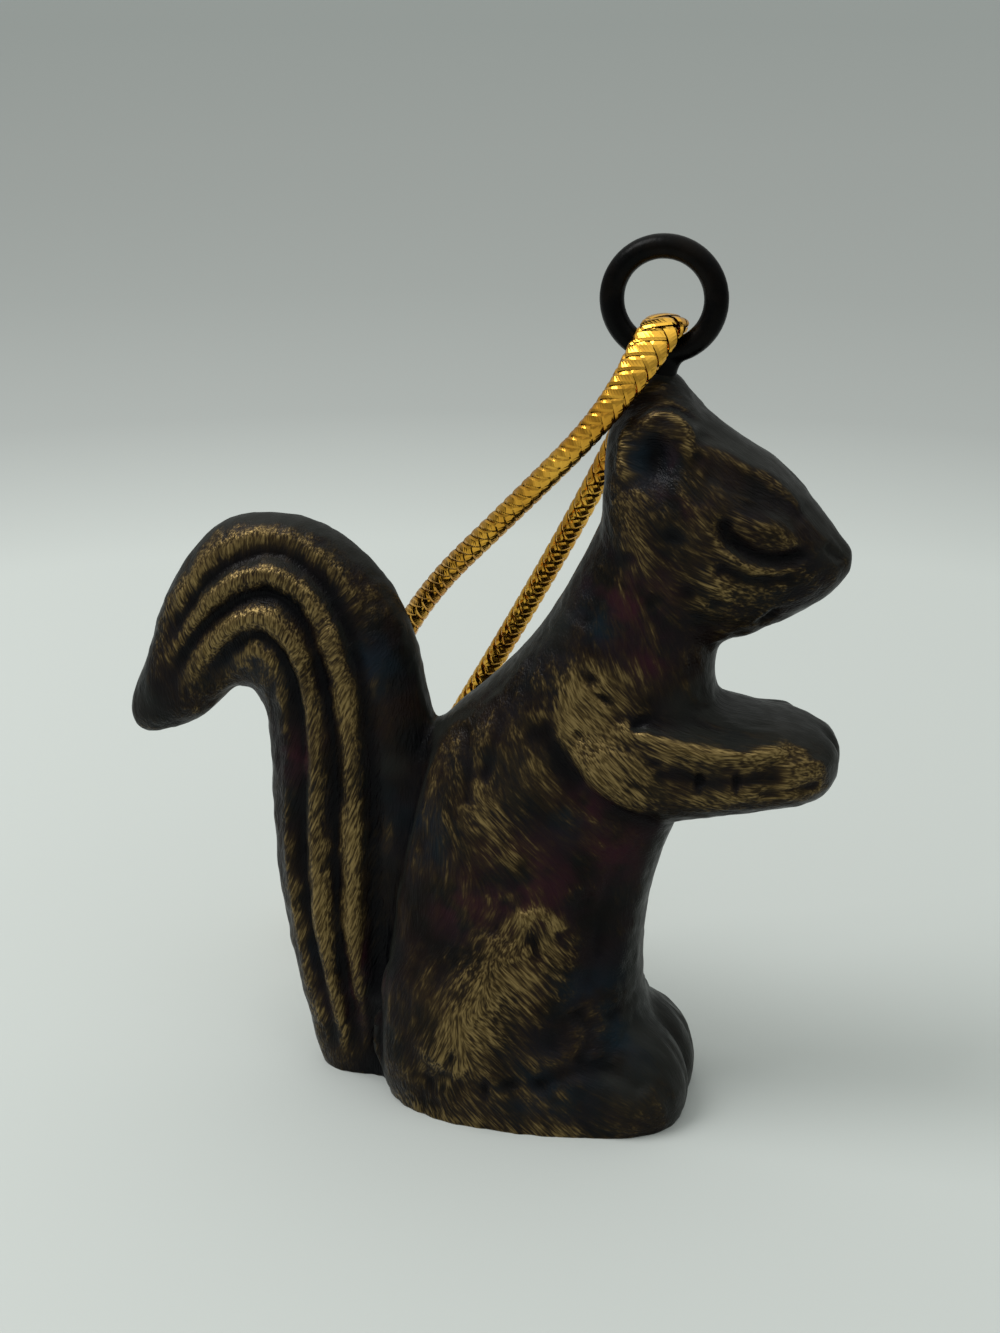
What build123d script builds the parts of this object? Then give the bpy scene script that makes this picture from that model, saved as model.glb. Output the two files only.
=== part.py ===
from build123d import *
import math
import os

# Squirrel hanging ornament: a patinated brass casting that stands on its flat base, a wire
# hanging ring let into the crown of the head, and a loop of metallic cord through the ring.
# Millimetres. X runs from the tail to the nose, Y is the thickness, Z is up, and the origin
# is the middle of the base on the surface that the figure stands on.

# Casting
figure_length = 61.3
casting_height = 64.0
figure_thickness = 17.8
tail_thickness = 8.8
tail_groove_depth = 1.0
head_thickness = 12.4
rib_point_count = 12
base_overrun = 3.0
trunk_squareness = 2.35
arm_squareness = 2.5
flank_crowding = 0.22

# Hanging ring
ring_wire = 1.95
ring_wire_sides = 16
ring_hole = 6.15
shank_height = 3.7
shank_length_across = 2.8
shank_width_across = 2.1
foot_length_across = 5.0
foot_width_across = 3.8
spigot_diameter = 2.2
spigot_length = 5.0
solder_gap = 0.05
seat_overrun = 4.0

# Hanging cord
cord_diameter = 2.0
cord_sides = 8
knot_length = 8.0
knot_width = 7.2
knot_height = 5.4
knot_end_width = 5.2
knot_end_height = 3.6
knot_sides = 12
tail_end_length = 8.0


def place(x_share, z_share):
    """A point of the side outline, from shares of the figure's length and height."""
    return x_share * figure_length, z_share * casting_height


def rib_frame(low, high):
    """The plane of a rib between two points of the side outline, and half the rib's width."""
    middle = Vector((low[0] + high[0]) / 2, 0, (low[1] + high[1]) / 2)
    across = Vector(high[0] - low[0], 0, high[1] - low[1])
    plane = Plane(origin=middle, x_dir=across, z_dir=across.cross(Vector(0, 1, 0)))
    return plane, across.length / 2


def section(low, high, half_thickness, power=2.0, crowding=0.0):
    """A closed rib between two points of the side outline, bulging by half_thickness in Y."""
    plane, half_width = rib_frame(low, high)
    outline = []
    for step in range(rib_point_count):
        turn = math.pi / 2 + 2 * math.pi * step / rib_point_count
        turn += crowding * math.sin(2 * turn)
        width_share = math.copysign(abs(math.cos(turn)) ** (2 / power), math.cos(turn))
        bulge_share = math.copysign(abs(math.sin(turn)) ** (2 / power), math.sin(turn))
        outline.append(plane.from_local_coords((half_width * width_share, half_thickness * bulge_share, 0)))
    even_steps = [step / rib_point_count for step in range(rib_point_count + 1)]
    rib = Edge.make_spline(outline, periodic=True, parameters=even_steps)
    return Face(Wire(rib))


def blob(centre, half_sizes, tilt=0.0):
    """An egg-shaped swelling, tilted in the side view."""
    swelling = scale(Sphere(1), by=half_sizes)
    return Pos(*centre) * Rot(0, tilt, 0) * swelling


# Tail: each row holds the inner and the outer point of a rib and its half thickness, as shares
# of the figure's length, its height and the tail's thickness.
tail_rib_shares = (
    (-0.220, -0.040, -0.106, -0.040, 0.18),
    (-0.245, 0.050, -0.100, 0.050, 0.35),
    (-0.264, 0.130, -0.088, 0.130, 0.45),
    (-0.277, 0.205, -0.075, 0.210, 0.48),
    (-0.287, 0.280, -0.065, 0.290, 0.50),
    (-0.292, 0.355, -0.058, 0.370, 0.50),
    (-0.294, 0.425, -0.054, 0.450, 0.50),
    (-0.295, 0.490, -0.057, 0.525, 0.50),
    (-0.300, 0.532, -0.070, 0.590, 0.49),
    (-0.310, 0.553, -0.087, 0.656, 0.48),
    (-0.321, 0.562, -0.132, 0.736, 0.48),
    (-0.334, 0.562, -0.213, 0.793, 0.47),
    (-0.350, 0.552, -0.293, 0.803, 0.46),
    (-0.374, 0.528, -0.354, 0.787, 0.44),
    (-0.404, 0.504, -0.404, 0.738, 0.41),
    (-0.438, 0.490, -0.440, 0.680, 0.36),
    (-0.468, 0.484, -0.466, 0.607, 0.29),
    (-0.488, 0.487, -0.487, 0.560, 0.20),
    (-0.499, 0.500, -0.498, 0.528, 0.08),
)
# The grooves between the four locks of the tail, and the crest of each lock between them, from
# the inner edge to the outer one, as shares of the rib's half width.
tail_groove_shares = (-0.58, -0.08, 0.42)
tail_crest_shares = (-0.86, -0.33, 0.17, 0.76)


def tail_section(low, high, half_thickness):
    """A closed rib of rounded locks that meet in sharp grooves."""
    plane, half_width = rib_frame(low, high)
    groove_depth_share = 2 * tail_groove_depth / tail_thickness

    def rib_point(width_share, side, left_share=1.0):
        bulge = side * left_share * half_thickness * math.sqrt(1 - width_share**2)
        return plane.from_local_coords((half_width * width_share, bulge, 0))

    def groove_point(index, side):
        return rib_point(tail_groove_shares[index], side, 1 - groove_depth_share)

    locks = []
    for index in (0, 1):
        crest = rib_point(tail_crest_shares[index + 1], 1)
        locks.append(Spline(groove_point(index, 1), crest, groove_point(index + 1, 1)))
    outer = [rib_point(tail_crest_shares[3], 1), rib_point(1, 1), rib_point(tail_crest_shares[3], -1)]
    locks.append(Spline(groove_point(2, 1), *outer, groove_point(2, -1)))
    for index in (2, 1):
        crest = rib_point(tail_crest_shares[index], -1)
        locks.append(Spline(groove_point(index, -1), crest, groove_point(index - 1, -1)))
    inner = [rib_point(tail_crest_shares[0], -1), rib_point(-1, 1), rib_point(tail_crest_shares[0], 1)]
    locks.append(Spline(groove_point(0, -1), *inner, groove_point(0, 1)))
    return Face(Wire(locks))


def make_tail():
    ribs = []
    for inner_x, inner_z, outer_x, outer_z, thick in tail_rib_shares:
        low = place(inner_x, inner_z)
        high = place(outer_x, outer_z)
        ribs.append(tail_section(low, high, thick * tail_thickness))
    return loft(ribs)


# Trunk: back and chest points from the base to the neck, with shares of the whole thickness.
trunk_rib_shares = (
    (-0.125, -0.040, 0.310, -0.040, 0.50),
    (-0.135, 0.060, 0.284, 0.060, 0.50),
    (-0.145, 0.160, 0.246, 0.160, 0.46),
    (-0.142, 0.270, 0.244, 0.270, 0.40),
    (-0.128, 0.370, 0.262, 0.360, 0.37),
    (-0.100, 0.470, 0.288, 0.430, 0.355),
    (-0.040, 0.540, 0.318, 0.520, 0.35),
    (0.030, 0.605, 0.329, 0.585, 0.335),
    (0.085, 0.665, 0.328, 0.650, 0.32),
    (0.130, 0.735, 0.340, 0.710, 0.30),
    (0.168, 0.810, 0.345, 0.775, 0.27),
    (0.205, 0.870, 0.320, 0.850, 0.20),
)


def make_trunk():
    ribs = []
    for back_x, back_z, chest_x, chest_z, thick in trunk_rib_shares:
        low = place(back_x, back_z)
        high = place(chest_x, chest_z)
        half_thickness = thick * figure_thickness
        ribs.append(section(low, high, half_thickness, power=trunk_squareness, crowding=flank_crowding))
    return loft(ribs)


# Head: jaw and crown points from the back of the head to the nose, with shares of its thickness.
head_rib_shares = (
    (0.174, 0.790, 0.178, 0.928, 0.10),
    (0.182, 0.755, 0.190, 0.962, 0.30),
    (0.218, 0.692, 0.228, 0.985, 0.45),
    (0.270, 0.664, 0.284, 0.975, 0.50),
    (0.325, 0.669, 0.340, 0.940, 0.50),
    (0.382, 0.688, 0.396, 0.904, 0.43),
    (0.435, 0.714, 0.447, 0.857, 0.31),
    (0.474, 0.743, 0.482, 0.816, 0.19),
    (0.497, 0.770, 0.500, 0.796, 0.07),
)


def make_head():
    ribs = []
    for jaw_x, jaw_z, crown_x, crown_z, thick in head_rib_shares:
        low = place(jaw_x, jaw_z)
        high = place(crown_x, crown_z)
        ribs.append(section(low, high, thick * head_thickness))
    return loft(ribs)


# Forearms, held together in front of the chest: under and upper points from the shoulders to
# the paws, with shares of the figure's thickness.
arm_rib_shares = (
    (0.090, 0.487, 0.110, 0.568, 0.200),
    (0.150, 0.436, 0.170, 0.592, 0.370),
    (0.225, 0.422, 0.240, 0.602, 0.385),
    (0.300, 0.435, 0.312, 0.594, 0.365),
    (0.370, 0.449, 0.382, 0.583, 0.335),
    (0.432, 0.460, 0.442, 0.573, 0.295),
    (0.477, 0.473, 0.482, 0.555, 0.220),
    (0.498, 0.500, 0.499, 0.531, 0.090),
)


def make_arms():
    ribs = []
    for low_x, low_z, high_x, high_z, thick in arm_rib_shares:
        low = place(low_x, low_z)
        high = place(high_x, high_z)
        ribs.append(section(low, high, thick * figure_thickness, power=arm_squareness))
    return loft(ribs)


# Swellings of one flank: centre in shares of length, thickness and height, then half sizes in
# the same shares, then the tilt in degrees.
haunch_shares = ((0.018, 0.250, 0.124), (0.160, 0.250, 0.176), 12.0)
foot_shares = ((0.212, 0.130, 0.036), (0.105, 0.335, 0.104), -12.0)
ear_shares = ((0.257, 0.205, 0.926), (0.044, 0.086, 0.050), 8.0)
ear_cup_shares = ((0.263, 0.290, 0.924), (0.029, 0.060, 0.034), 8.0)
eye_shares = ((0.374, 0.240, 0.850), (0.054, 0.078, 0.027), 10.0)


def flank_blob(shares, side):
    (x_share, y_share, z_share), (long_share, thick_share, tall_share), tilt = shares
    x, z = place(x_share, z_share)
    half_length, half_height = place(long_share, tall_share)
    centre = (x, side * y_share * figure_thickness, z)
    return blob(centre, (half_length, thick_share * figure_thickness, half_height), tilt)


# The crown, where the ring's foot seats on a flat that is spot-faced on the head.
crown_x, seat_z = place(0.246, 0.976)
ring_radius = (ring_hole + ring_wire) / 2
ring_centre_z = seat_z + shank_height + ring_radius


def make_casting():
    body = make_trunk() + make_tail() + make_head() + make_arms()
    for side in (-1, 1):
        body += flank_blob(haunch_shares, side)
        body += flank_blob(foot_shares, side)
        body += flank_blob(eye_shares, side)
        body += flank_blob(ear_shares, side)
        body -= flank_blob(ear_cup_shares, side)
    below = Box(
        2 * figure_length,
        2 * figure_thickness,
        base_overrun + casting_height,
        align=(Align.CENTER, Align.CENTER, Align.MAX),
    )
    body -= below
    socket = Cylinder(
        spigot_diameter / 2 + solder_gap,
        spigot_length + solder_gap,
        align=(Align.CENTER, Align.CENTER, Align.MAX),
    )
    seat_outline = Ellipse(foot_length_across / 2 + solder_gap, foot_width_across / 2 + solder_gap)
    seat = extrude(seat_outline, seat_overrun)
    body -= Pos(crown_x, 0, seat_z) * (socket + seat)
    return body


# Flared shank from the seat up into the ring's wire: share of its height, how much of the foot's
# extra width is left, and how far it has spread along the wire, as a share of the wire.
shank_rib_shares = (
    (0.0, 1.0, 0.0),
    (0.12, 0.62, 0.0),
    (0.26, 0.28, 0.0),
    (0.5, 0.0, 0.0),
    (0.78, 0.0, 0.5),
    (1.0, 0.0, 1.0),
)


def make_ring():
    wire = Plane.XZ * Pos(ring_radius, 0, 0) * RegularPolygon(ring_wire / 2, ring_wire_sides)
    eye = Pos(crown_x, 0, ring_centre_z) * Rot(90, 0, 0) * revolve(wire, Axis.Z)
    ribs = []
    for height_share, foot_share, spread_share in shank_rib_shares:
        long_across = shank_length_across + foot_share * (foot_length_across - shank_length_across)
        wide_across = shank_width_across + foot_share * (foot_width_across - shank_width_across)
        long_across += spread_share * ring_wire
        wide_across -= spread_share * (shank_width_across - ring_wire / 2)
        ribs.append(Pos(0, 0, height_share * shank_height) * Ellipse(long_across / 2, wide_across / 2))
    shank = loft(ribs, ruled=True)
    spigot = Cylinder(spigot_diameter / 2, spigot_length, align=(Align.CENTER, Align.CENTER, Align.MAX))
    return eye + Pos(crown_x, 0, seat_z) * (shank + spigot)


# Route of the loop's centre line, from the knot over the ring's lower wire and back to the knot.
cord_route = (
    (-8.5, 37.2, 2.7),
    (-12.9, 37.2, 2.7),
    (-17.4, 36.4, 1.3),
    (-20.8, 33.3, 1.05),
    (-22.4, 28.6, 1.6),
    (-21.0, 22.8, 6.4),
    (-16.8, 16.8, 16.8),
    (-12.0, 10.6, 31.2),
    (-6.1, 5.4, 42.8),
    (3.9, -1.6, 53.6),
    (11.6, -4.2, 62.0),
    (15.2, -1.8, 68.35),
    (15.3, 1.8, 68.35),
    (12.9, 5.9, 62.3),
    (9.0, 7.4, 53.6),
    (1.3, 10.8, 39.2),
    (-6.6, 14.4, 25.4),
    (-12.3, 17.6, 13.4),
    (-16.2, 21.8, 4.8),
    (-17.3, 25.8, 2.0),
    (-17.3, 29.3, 1.1),
    (-15.8, 32.7, 1.5),
    (-12.5, 34.6, 2.7),
    (-8.5, 34.6, 2.7),
)
arc_share = 0.45


def cord_radii(route):
    """Each corner's arc, as large as the two runs beside it allow."""
    radii = []
    for before, corner, after in zip(route, route[1:], route[2:]):
        run_in = Vector(*corner) - Vector(*before)
        run_out = Vector(*after) - Vector(*corner)
        half_turn = math.radians(run_in.get_angle(run_out) / 2)
        radii.append(arc_share * min(run_in.length, run_out.length) / math.tan(half_turn))
    return radii


def round_tube(route):
    """A tube with flat sides along a route of straight runs and tangent arcs, and its length."""
    path = FilletPolyline(*route, radius=cord_radii(route))
    start = Plane(origin=path @ 0, z_dir=path % 0)
    return sweep(start * RegularPolygon(cord_diameter / 2, cord_sides), path=path), path.length


def make_cord():
    tube, length = round_tube(cord_route)
    print("cord length", round(length, 1), "mm")
    print("cord radii", [round(radius, 1) for radius in cord_radii(cord_route)])
    section_area = RegularPolygon(cord_diameter / 2, cord_sides).area
    print("cord volume", round(tube.volume, 2), "against", round(section_area * length, 2))
    return tube


# The knot between its two end faces: share of its length and share of its full swelling.
knot_rib_shares = ((0.0, 0.0), (0.2, 0.72), (0.5, 1.0), (0.8, 0.72), (1.0, 0.0))
knot_x, knot_front_y, knot_z = cord_route[0]
knot_back_y = cord_route[-1][1]
knot_y = (knot_front_y + knot_back_y) / 2


def make_knot():
    """The knot's outer shape, with a flat face at each end for the cords that enter it."""
    ribs = []
    for length_share, swelling_share in knot_rib_shares:
        width = knot_end_width + swelling_share * (knot_width - knot_end_width)
        height = knot_end_height + swelling_share * (knot_height - knot_end_height)
        rib_plane = Plane(
            origin=(knot_x + length_share * knot_length, knot_y, knot_z),
            x_dir=(0, 1, 0),
            z_dir=(1, 0, 0),
        )
        ribs.append(rib_plane * scale(RegularPolygon(1, knot_sides), by=(width / 2, height / 2, 1)))
    return loft(ribs, ruled=True)


# The two ends that leave the knot: share of their length, spread as a share of the distance
# between the middle and one cord, and height as a share of the knot's height above the floor.
cord_tail_shares = ((0.0, 1.0, 1.0), (0.3, 1.0, 1.0), (0.62, 1.5, 0.75), (0.97, 2.4, 0.42))


def make_cord_tails():
    """The two short ends that leave the knot on its far side."""
    ends = []
    for side in (-1, 1):
        route = []
        for length_share, spread_share, height_share in cord_tail_shares:
            x = knot_x + knot_length + length_share * tail_end_length
            y = knot_y + side * spread_share * (knot_front_y - knot_back_y) / 2
            route.append((x, y, height_share * knot_z))
        tube, length = round_tube(route)
        print("cord end length", round(length, 1), "mm")
        ends.append(tube)
    return Compound(ends)


casting = make_casting()
ring = make_ring()
cord = make_cord()
knot = make_knot()
tails = make_cord_tails()
os.makedirs("parts", exist_ok=True)
export_step(casting, "parts/squirrel_casting.step")
export_step(ring, "parts/hanging_ring.step")
export_step(cord, "parts/hanging_cord.step")
export_step(knot, "parts/cord_knot.step")
export_step(tails, "parts/cord_tails.step")
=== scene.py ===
# %% [markdown]
# # A cast brass squirrel with a hanging ring and a metallic cord
#
# The real thing is a small solid casting with a dark chemical patina. The hair was cut into the
# pattern before it was cast, and years of handling have rubbed the raised hair back to brass. A
# blackened wire ring is let into the crown, and a loop of woven metallic cord runs through it.
#
# The frame holds the true size and place of every piece. This script gives each piece its finish
# and its fine shape, and leaves the frame where it is.

import math

import bmesh
import bpy
import numpy as np
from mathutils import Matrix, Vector


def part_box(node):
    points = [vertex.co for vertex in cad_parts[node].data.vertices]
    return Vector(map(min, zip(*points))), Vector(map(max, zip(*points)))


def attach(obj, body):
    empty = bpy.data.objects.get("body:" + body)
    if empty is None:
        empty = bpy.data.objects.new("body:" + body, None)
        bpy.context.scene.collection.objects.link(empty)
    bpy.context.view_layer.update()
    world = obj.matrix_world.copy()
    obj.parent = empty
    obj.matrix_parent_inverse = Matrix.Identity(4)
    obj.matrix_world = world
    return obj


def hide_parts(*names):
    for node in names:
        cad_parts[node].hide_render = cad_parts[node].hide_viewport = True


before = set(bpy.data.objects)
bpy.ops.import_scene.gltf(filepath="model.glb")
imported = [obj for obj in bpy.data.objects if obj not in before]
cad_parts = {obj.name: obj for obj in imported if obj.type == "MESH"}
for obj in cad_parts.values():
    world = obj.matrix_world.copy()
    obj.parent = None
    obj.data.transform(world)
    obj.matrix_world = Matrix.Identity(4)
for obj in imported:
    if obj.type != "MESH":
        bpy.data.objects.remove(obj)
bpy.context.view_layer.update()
mm = 0.001
print("the frame holds", sorted(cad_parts))

# %% [markdown]
# ## Small helpers
#
# Blender works in metres, and the tables below are in millimetres, because that is how a small
# casting is measured. A curve through a few given points is easier to read and to change
# than a long list, so every outline here is a short list that one function makes smooth.


# %% Helpers for curves and meshes
def smooth_through(points, steps):
    """A Catmull-Rom curve through the points, with that many steps from each to the next."""
    points = np.array(points, float)
    before = 2 * points[0] - points[1]
    after = 2 * points[-1] - points[-2]
    padded = np.vstack([before, points, after])
    shares = (np.arange(steps) / steps)[:, None]
    pieces = []
    for a, b, c, d in zip(padded, padded[1:], padded[2:], padded[3:]):
        cubic = -a + 3 * b - 3 * c + d
        square = 2 * a - 5 * b + 4 * c - d
        pieces.append(b + 0.5 * shares * (c - a + shares * (square + shares * cubic)))
    pieces.append(points[-1:])
    return np.vstack(pieces)


def select_only(piece):
    bpy.ops.object.select_all(action="DESELECT")
    piece.select_set(True)
    bpy.context.view_layer.objects.active = piece


def new_object(name, data):
    piece = bpy.data.objects.new(name, data)
    bpy.context.scene.collection.objects.link(piece)
    return piece


def new_piece(name, vertices, faces):
    mesh = bpy.data.meshes.new(name)
    mesh.from_pydata([tuple(v) for v in vertices], [], faces)
    mesh.validate()
    return new_object(name, mesh)


def face_outwards(piece):
    """Turns every closed shell of a mesh outwards without merging anything."""
    edit = bmesh.new()
    edit.from_mesh(piece.data)
    bmesh.ops.recalc_face_normals(edit, faces=edit.faces)
    edit.to_mesh(piece.data)
    edit.free()


def joined(name, pieces):
    select_only(pieces[0])
    for piece in pieces[1:]:
        piece.select_set(True)
    bpy.ops.object.join()
    pieces[0].name = name
    pieces[0].data.name = name
    return pieces[0]


def fused(name, pieces, voxel):
    """Overlapping closed shells made into one skin of small even faces."""
    block = joined(name, pieces)
    remesh = block.modifiers.new("fuse", "REMESH")
    remesh.mode = "VOXEL"
    remesh.voxel_size = voxel
    bpy.ops.object.modifier_apply(modifier=remesh.name)
    return block


def store(piece, name, values):
    """Keeps one value for each vertex with the mesh, for its material to read."""
    layer = piece.data.attributes.new(name, "FLOAT", "POINT")
    layer.data.foreach_set("value", np.asarray(values, np.float32))


print("helpers ready")

# %% [markdown]
# ## The camera comes first
#
# The photograph looks slightly down on the figure and a little past its flank. The camera stands
# at that angle and distance, so every later step can be judged against the same view.

# %% Camera
view_target = Vector((2.2, 0.0, 39.2)) * mm
view_azimuth = math.radians(12)
view_elevation = math.radians(20)
view_distance = 167 * mm
photo_height_px = 1333
focal_px = 2003
sensor_size = 36

towards_camera = Vector(
    (
        math.sin(view_azimuth) * math.cos(view_elevation),
        -math.cos(view_azimuth) * math.cos(view_elevation),
        math.sin(view_elevation),
    )
)
camera_data = bpy.data.cameras.new("camera")
camera_data.sensor_width = sensor_size
camera_data.lens = focal_px / photo_height_px * sensor_size
camera_data.clip_start = 1 * mm
camera_data.clip_end = 100
camera = new_object("camera", camera_data)
camera.location = view_target + towards_camera * view_distance
camera.rotation_euler = towards_camera.to_track_quat("Z", "Y").to_euler()
bpy.context.scene.camera = camera
print("camera lens", round(camera_data.lens, 2), "mm, at", [round(v, 4) for v in camera.location])

# %% [markdown]
# ## The cord
#
# The cord is a braid of flat metallised strips, four wound each way, over two and under two. It
# could be a plain tube with a bump map, but the strips catch the light one by one, so each strip
# is a real ribbon that follows the cord's centre line. The centre line is a NURBS curve led by the
# same points as the construction, from the knot up over the ring and back.

# %% Cord route
cord_diameter = 2.0 * mm
cord_route_mm = (
    (-8.5, 37.2, 2.7), (-12.9, 37.2, 2.7), (-17.4, 36.4, 1.3), (-20.8, 33.3, 1.05),
    (-22.4, 28.6, 1.6), (-21, 22.8, 6.4), (-16.8, 16.8, 16.8), (-12, 10.6, 31.2),
    (-6.1, 5.4, 42.8), (3.9, -1.6, 53.6), (11.6, -4.2, 62), (15.2, -1.8, 68.35),
    (15.3, 1.8, 68.35), (12.9, 5.9, 62.3), (9, 7.4, 53.6), (1.3, 10.8, 39.2), (-6.6, 14.4, 25.4),
    (-12.3, 17.6, 13.4), (-16.2, 21.8, 4.8), (-17.3, 25.8, 2), (-17.3, 29.3, 1.1),
    (-15.8, 32.7, 1.5), (-12.5, 34.6, 2.7), (-8.5, 34.6, 2.7),
)


def nurbs_line(name, points_mm):
    """The points of a smooth NURBS line whose control points are the given ones, in metres."""
    curve = bpy.data.curves.new(name, "CURVE")
    curve.dimensions = "3D"
    curve.resolution_u = 24
    spline = curve.splines.new("NURBS")
    spline.points.add(len(points_mm) - 1)
    for point, place_mm in zip(spline.points, points_mm):
        point.co = (*(Vector(place_mm) * mm), 1)
    spline.order_u = 3
    spline.use_endpoint_u = True
    line = new_object(name, curve)
    bpy.context.view_layer.update()
    mesh = bpy.data.meshes.new_from_object(line)
    points = np.array([v.co[:] for v in mesh.vertices])
    bpy.data.meshes.remove(mesh)
    bpy.data.objects.remove(line)
    bpy.data.curves.remove(curve)
    return points


def line_length(points):
    return float(np.linalg.norm(np.diff(points, axis=0), axis=1).sum())


cord_line = nurbs_line("cord_line", cord_route_mm)

# %% [markdown]
# A ribbon needs two directions square to the line that don't spin about it. They are carried
# along from point to point, each turned only as far as the line itself turns, so the braid
# doesn't twist where the cord bends.


# %% Woven cord
# Sizes of the strips, of their weave and of the core under them.
strips_each_way = 4
strip_width = 0.85 * mm
strip_crown = 0.05 * mm
strip_thickness = 0.05 * mm
braid_lead = 5.0 * mm
weave_radius = 0.87 * mm
weave_lift = 0.085 * mm
# How steeply a strip dives from over to under.
weave_steepness = 4.0
core_radius = 0.74 * mm
core_sides = 8
ribbon_step = 0.13 * mm
# Over the ring's wire the soft braid spreads sideways and thins.
bend_point = Vector((15.2, 0.0, 68.3)) * mm
bend_reach = 6.0 * mm
bend_widening = 0.75
bend_thinning = 0.25
braid_pitch = math.atan2(2 * math.pi * weave_radius, braid_lead)
half_across = strip_width / 2 * math.cos(braid_pitch)
edge_sag = weave_radius - math.sqrt(weave_radius**2 - half_across**2)
# Corners of a strip's section: share of its half width, and height above the weave.
strip_section = (
    (-1, -edge_sag),
    (-0.55, strip_crown),
    (0.55, strip_crown),
    (1, -edge_sag),
    (0, -strip_thickness),
)


def even_line(points, spacing):
    """The same line with evenly spaced points."""
    runs = np.linalg.norm(np.diff(points, axis=0), axis=1)
    distance = np.concatenate([[0], np.cumsum(runs)])
    count = max(2, int(round(distance[-1] / spacing)))
    wanted = np.linspace(0, distance[-1], count + 1)
    return np.stack([np.interp(wanted, distance, points[:, axis]) for axis in range(3)], axis=1)


def carried_directions(line):
    """The tangent and two steady directions square to it, at each point of a line."""
    tangent = np.gradient(line, axis=0)
    tangent /= np.linalg.norm(tangent, axis=1)[:, None]
    sideways = np.zeros_like(line)
    first = np.cross(tangent[0], (0, 0, 1))
    sideways[0] = first / np.linalg.norm(first)
    for i in range(1, len(line)):
        carried = sideways[i - 1] - tangent[i] * np.dot(sideways[i - 1], tangent[i])
        sideways[i] = carried / np.linalg.norm(carried)
    return tangent, sideways, np.cross(tangent, sideways)


def tube_faces(rings, around, first=0):
    faces = []
    for ring in range(rings - 1):
        for step in range(around):
            a = first + ring * around + step
            b = first + ring * around + (step + 1) % around
            faces.append((a, b, b + around, a + around))
    faces.append(tuple(first + step for step in range(around - 1, -1, -1)))
    faces.append(tuple(first + (rings - 1) * around + step for step in range(around)))
    return faces


def spread_at_bend(line, tangent, offsets):
    """Offsets from the line, widened along X and thinned the other way near the ring's wire."""
    wide_way = np.array((1.0, 0.0, 0.0)) - tangent * tangent[:, :1]
    wide_way /= np.linalg.norm(wide_way, axis=1)[:, None]
    thin_way = np.cross(tangent, wide_way)
    near = np.exp(-((np.linalg.norm(line - np.array(bend_point), axis=1) / bend_reach) ** 2))
    spread = offsets
    for way, growth in ((wide_way, bend_widening), (thin_way, -bend_thinning)):
        part = (offsets * way[:, None]).sum(2)
        spread = spread + (growth * near)[:, None, None] * part[..., None] * way[:, None]
    return spread


def woven_tube(name, line):
    """Flat strips woven two over and two under, over a dark core, along a line."""
    line = even_line(line, ribbon_step)
    tangent, side, up = carried_directions(line)
    distance = np.arange(len(line)) * line_length(line) / (len(line) - 1)
    turn = np.arange(core_sides) / core_sides * 2 * math.pi
    rim = side[:, None] * np.cos(turn)[:, None] + up[:, None] * np.sin(turn)[:, None]
    shells = [rim * core_radius]
    for hand in (1, -1):
        for strip in range(strips_each_way):
            angle = (hand * distance / braid_lead + strip / strips_each_way) * 2 * math.pi
            # The strip lies flat over two others and dives steeply under the next two.
            wave = np.cos(strips_each_way / 2 * angle - math.pi / 4)
            radius = weave_radius + hand * np.tanh(weave_steepness * wave) * weave_lift
            outwards = side * np.cos(angle)[:, None] + up * np.sin(angle)[:, None]
            round_way = up * np.cos(angle)[:, None] - side * np.sin(angle)[:, None]
            across = round_way * math.cos(braid_pitch) - tangent * hand * math.sin(braid_pitch)
            corners = []
            for wide, lift in strip_section:
                place = outwards * (radius + lift)[:, None] + across * wide * strip_width / 2
                corners.append(place)
            shells.append(np.stack(corners, axis=1))
    vertices = []
    faces = []
    in_core = []
    for index, offsets in enumerate(shells):
        places = line[:, None] + spread_at_bend(line, tangent, offsets)
        faces += tube_faces(len(line), offsets.shape[1], len(in_core))
        in_core += [1.0 if index == 0 else 0.0] * (len(line) * offsets.shape[1])
        vertices.append(places.reshape(-1, 3))
    piece = new_piece(name, np.vstack(vertices), faces)
    store(piece, "core", in_core)
    face_outwards(piece)
    return piece


cord = woven_tube("woven_cord", cord_line)
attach(cord, "cord_loop")
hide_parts("hanging_cord")
print("cord mesh has", len(cord.data.polygons), "faces")

# %% [markdown]
# The loop is closed by an overhand knot in both strands, which lies on the floor behind the
# figure. Each strand is the same woven cord, led once round the other inside the space that the
# construction gives the knot, and the two ends stand out past it.

# %% Knot and ends
knot_low, knot_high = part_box("cord_knot")
knot_centre = (knot_low + knot_high) / 2
knot_half = (knot_high - knot_low) / 2
strand_spacing = (cord_line[0][1] - cord_line[-1][1]) / 2
ends_low, ends_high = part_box("cord_tails")
knot_points = 60
# How long a strand stays out at the knot's belly, how evenly it turns, and how far it runs back.
knot_fullness = 1.2
knot_evenness = 9
knot_wander = 0.28
# Along a free end: shares of its reach, its spread and its way down to the floor, and its lift.
end_levels = (
    (-0.1, 0, 0, 0),
    (0.25, 0, 0, 0),
    (0.6, 0.3, 0.35, 0),
    (0.96, 1, 1, 0.1 * mm),
)


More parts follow.
